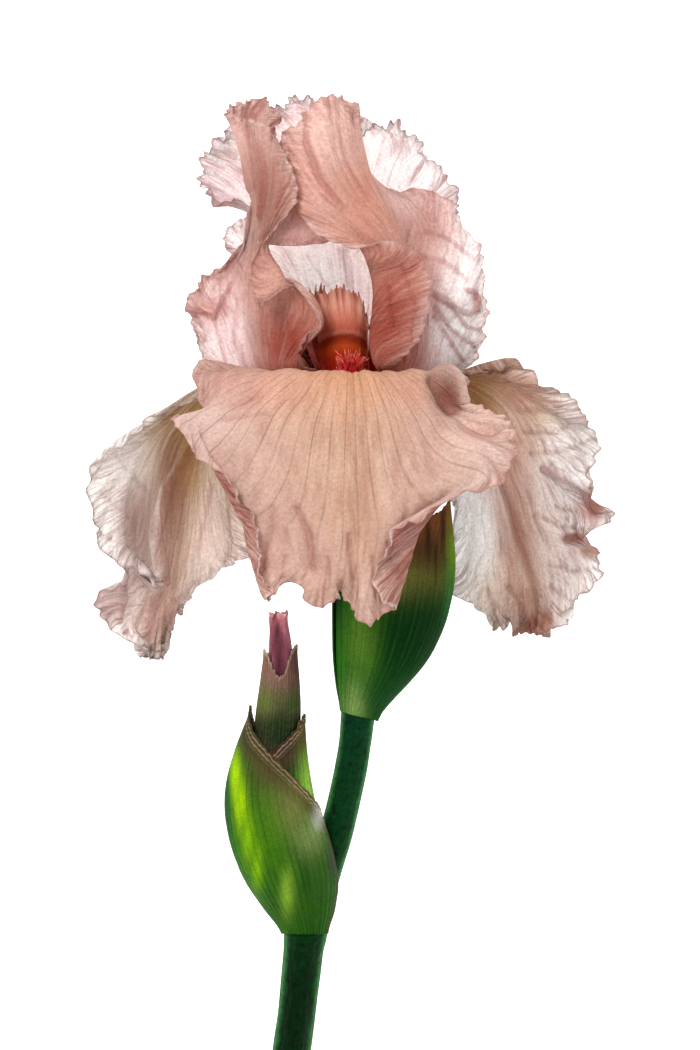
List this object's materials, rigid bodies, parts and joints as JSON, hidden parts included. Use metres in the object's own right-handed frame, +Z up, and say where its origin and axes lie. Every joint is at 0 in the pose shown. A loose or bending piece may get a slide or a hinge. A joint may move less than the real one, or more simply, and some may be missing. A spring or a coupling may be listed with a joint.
{
  "type": "bearded iris flower",
  "caption": "Cut bearded iris laid flat: an open ruffled flower with hanging falls, upright standards and a red beard, and a side bud in green bracts on the stem.",
  "frame": {"origin": "centre of the bounding box in X and Y, on the surface the flower lies on", "axes": "+Y along the stem towards the top of the flower, +X to the right as seen from above, +Z up from the surface"},
  "size_m": [0.1404, 0.2878, 0.1012],
  "materials": {
    "fall": "soft petal, matte",
    "standard": "soft petal, matte",
    "style": "soft petal, matte",
    "beard": "fine upright hairs",
    "stamen": "matte",
    "stem": "smooth green skin, satin",
    "bract": "smooth green leaf, satin",
    "dry_bract": "dry and papery",
    "bud": "rolled petal, matte"
  },
  "bodies": {
    "root": {"fall_front": "fall", "fall_left": "fall", "fall_right": "fall", "standard_left": "standard", "standard_right": "standard", "standard_back": "standard", "beard_front": "beard", "beard_left": "beard", "beard_right": "beard", "style_arm_front": "style", "style_arm_left": "style", "style_arm_right": "style", "stamen_front": "stamen", "stamen_left": "stamen", "stamen_right": "stamen", "perianth_tube": "stem", "stem": "stem", "spathe_outer": "bract", "spathe_inner": "dry_bract", "bud_bract_outer": "bract", "bud_bract_inner": "bract", "bud_bract_top": "dry_bract", "bud_petals": "bud"}
  },
  "joints": []
}
